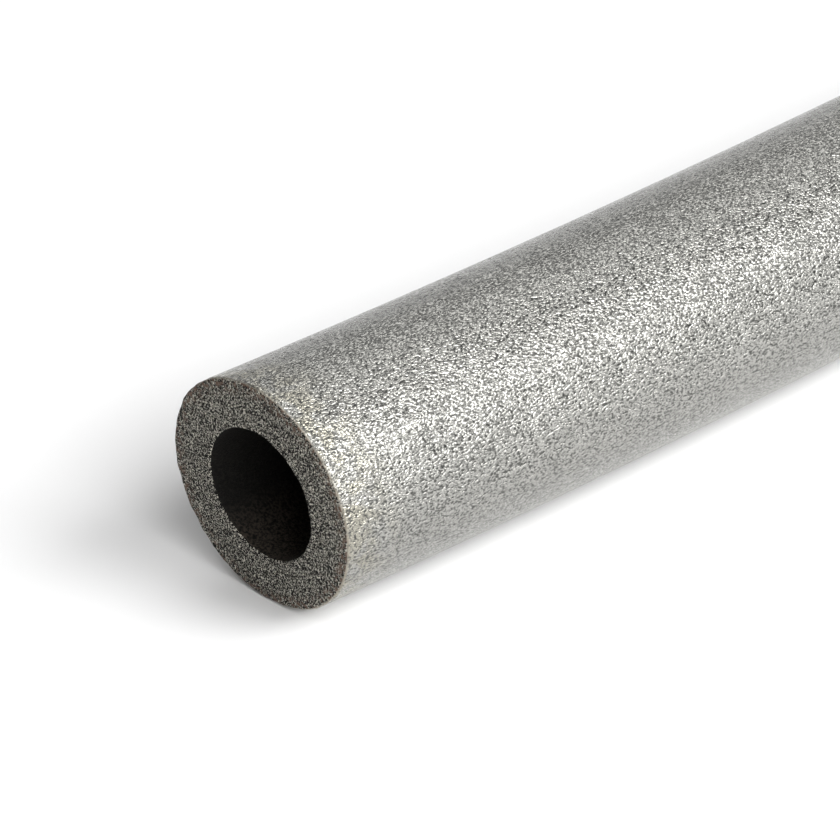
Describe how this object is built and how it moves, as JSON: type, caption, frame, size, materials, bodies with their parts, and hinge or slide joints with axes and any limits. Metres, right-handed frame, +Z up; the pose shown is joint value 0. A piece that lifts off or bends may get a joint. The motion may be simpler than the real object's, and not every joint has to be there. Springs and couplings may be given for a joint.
{
  "type": "pipe insulation lagging",
  "caption": "Length of thick-walled grey foam tube with a round bore and cut ends, pushed over a heating or water pipe to insulate it.",
  "frame": {"origin": "middle of the tube's footprint, on the surface that it lies on", "axes": "+X along the tube towards its square-cut end, +Y to the side that the near end bows towards as it recedes, +Z up"},
  "size_m": [1.0032, 0.072, 0.0609],
  "materials": {
    "foam": "closed-cell polyethylene foam: satin extruded skin with fine lengthwise wrinkles, matt cut ends with open cells"
  },
  "bodies": {
    "root": {"lagging_tube": "foam"}
  },
  "joints": []
}
